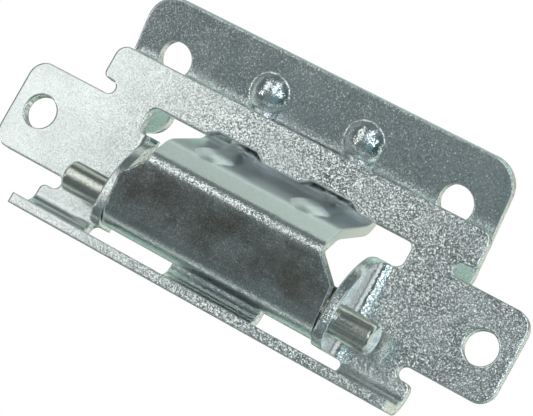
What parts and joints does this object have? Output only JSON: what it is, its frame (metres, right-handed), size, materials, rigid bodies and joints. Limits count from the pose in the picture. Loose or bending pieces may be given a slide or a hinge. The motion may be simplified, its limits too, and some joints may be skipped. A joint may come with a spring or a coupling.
{
  "type": "appliance door hinge",
  "caption": "Concealed appliance door hinge: folded steel bracket with screw ears and pin lugs, goose-neck door leaf curled round a steel pin.",
  "frame": {"origin": "midway between the two ear holes on the bracket's back face", "axes": "+Z along the hinge pin, +Y out of the bracket's back towards the side the door is on, +X from the pin towards the door screw holes"},
  "size_m": [0.0487, 0.0221, 0.107],
  "materials": {
    "zinc_plate": "bright zinc plating with a fine sparkle grain",
    "bright_steel": "drawn, plated, satin"
  },
  "bodies": {
    "panel_side": {"bracket": "zinc_plate", "hinge_pin": "bright_steel"},
    "door_side": {"door_leaf": "zinc_plate"}
  },
  "joints": [
    {"name": "door_swing", "type": "hinge", "parent": "panel_side", "child": "door_side", "pos_m": [-0.00785, -0.0072, 0], "axis": [0, 0, 1], "range_deg": [0, 136]}
  ]
}
